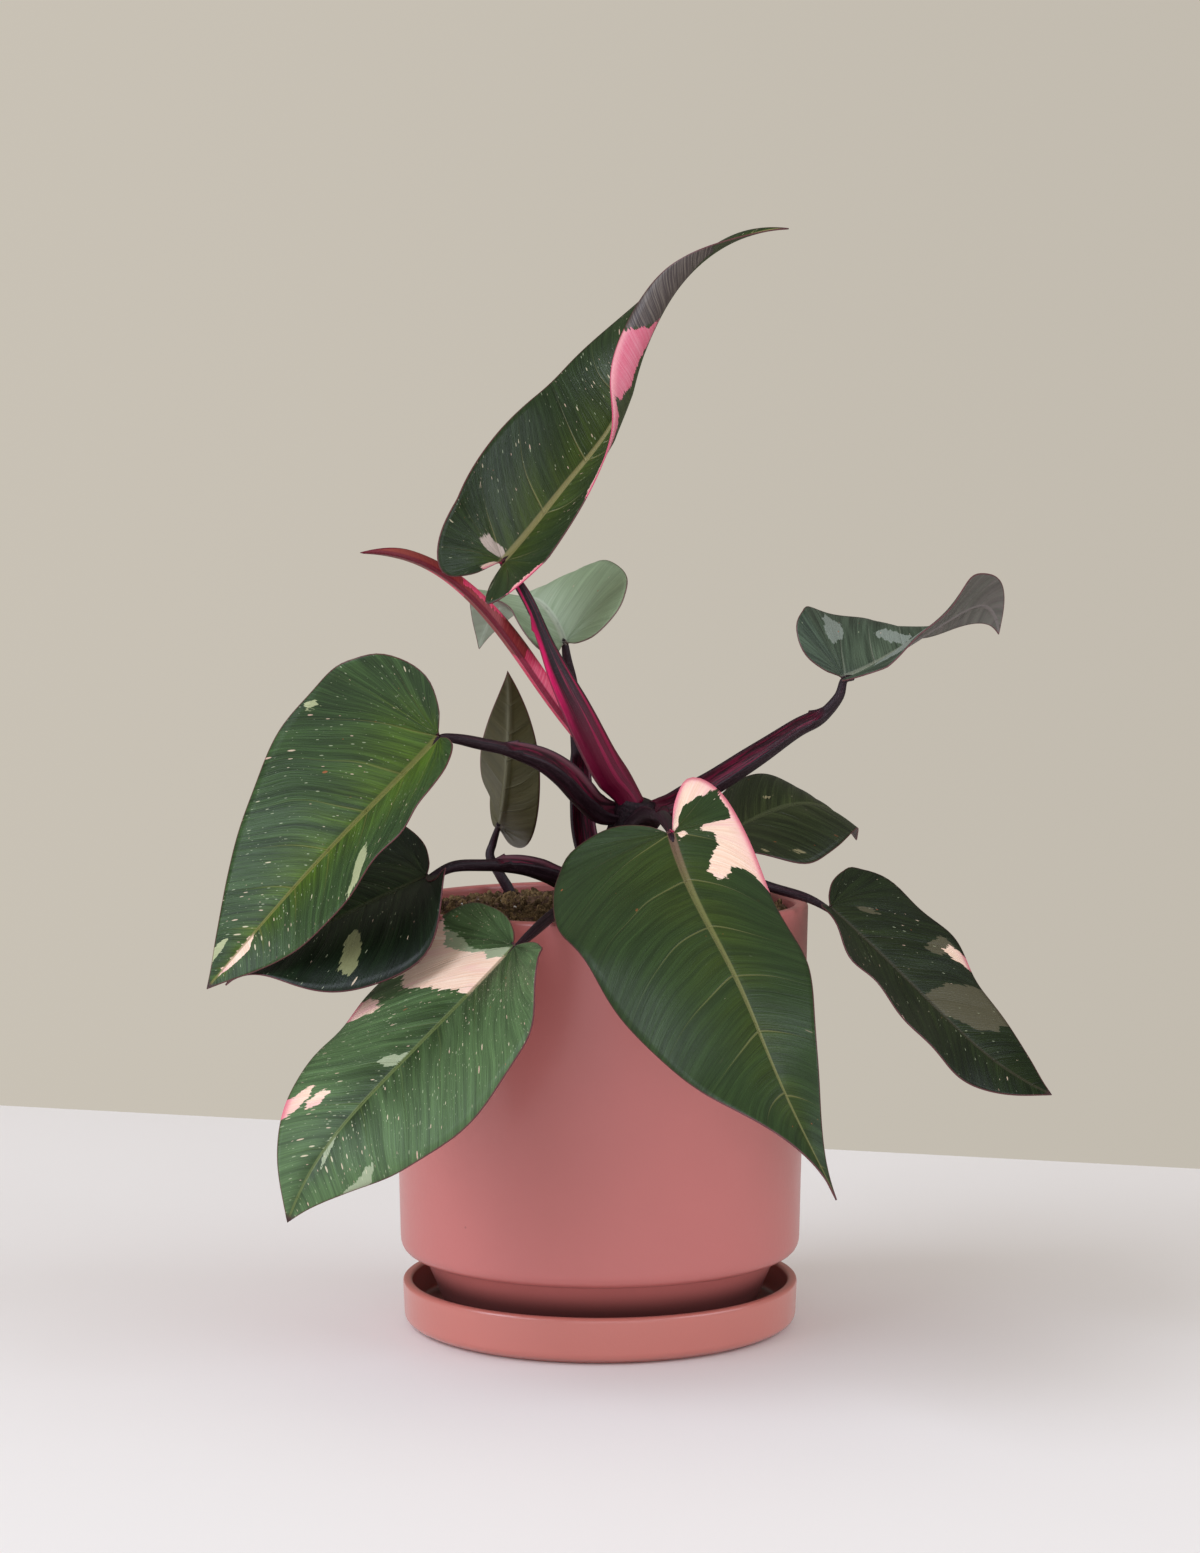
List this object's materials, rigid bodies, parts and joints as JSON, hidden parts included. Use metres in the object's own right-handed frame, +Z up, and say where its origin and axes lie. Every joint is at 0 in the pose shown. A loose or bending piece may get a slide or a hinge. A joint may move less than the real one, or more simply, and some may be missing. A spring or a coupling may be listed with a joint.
{
  "type": "potted houseplant",
  "caption": "Variegated philodendron with heart-shaped leaves on dark winged stalks, rooted in a round pot with a matching saucer.",
  "frame": {"origin": "centre of the saucer's flat underside, on the table", "axes": "+Z up, and the picture looks along +Y, so +X is to its right and -Y faces the viewer"},
  "size_m": [0.2941, 0.2917, 0.4018],
  "materials": {
    "leaf": "satin living leaf, dark green with pale pink and cream patches, purple-brown underneath",
    "new_leaf": "soft satin, rose pink and dark red",
    "petiole": "satin, dark purple with crimson streaks",
    "stem": "satin, dark purple-brown",
    "potting_soil": "rough, moist brown potting mix with moss",
    "pot_ceramic": "satin matte rose-pink glaze",
    "saucer_ceramic": "satin rose-pink glaze, a little glossier"
  },
  "bodies": {
    "root": {"pot": "pot_ceramic", "saucer": "saucer_ceramic", "soil": "potting_soil", "main_stem": "stem", "top_leaf": "leaf", "top_petiole": "petiole", "left_leaf": "leaf", "left_petiole": "petiole", "small_leaf": "leaf", "small_petiole": "petiole", "shaded_leaf": "leaf", "shaded_petiole": "petiole", "low_left_leaf": "leaf", "low_left_petiole": "petiole", "front_leaf": "leaf", "front_petiole": "petiole", "back_right_leaf": "leaf", "back_right_petiole": "petiole", "low_right_leaf": "leaf", "low_right_petiole": "petiole", "twisted_leaf": "leaf", "twisted_petiole": "petiole", "back_leaf": "leaf", "back_petiole": "petiole", "unfurling_leaf": "new_leaf", "unfurling_petiole": "petiole"}
  },
  "joints": []
}
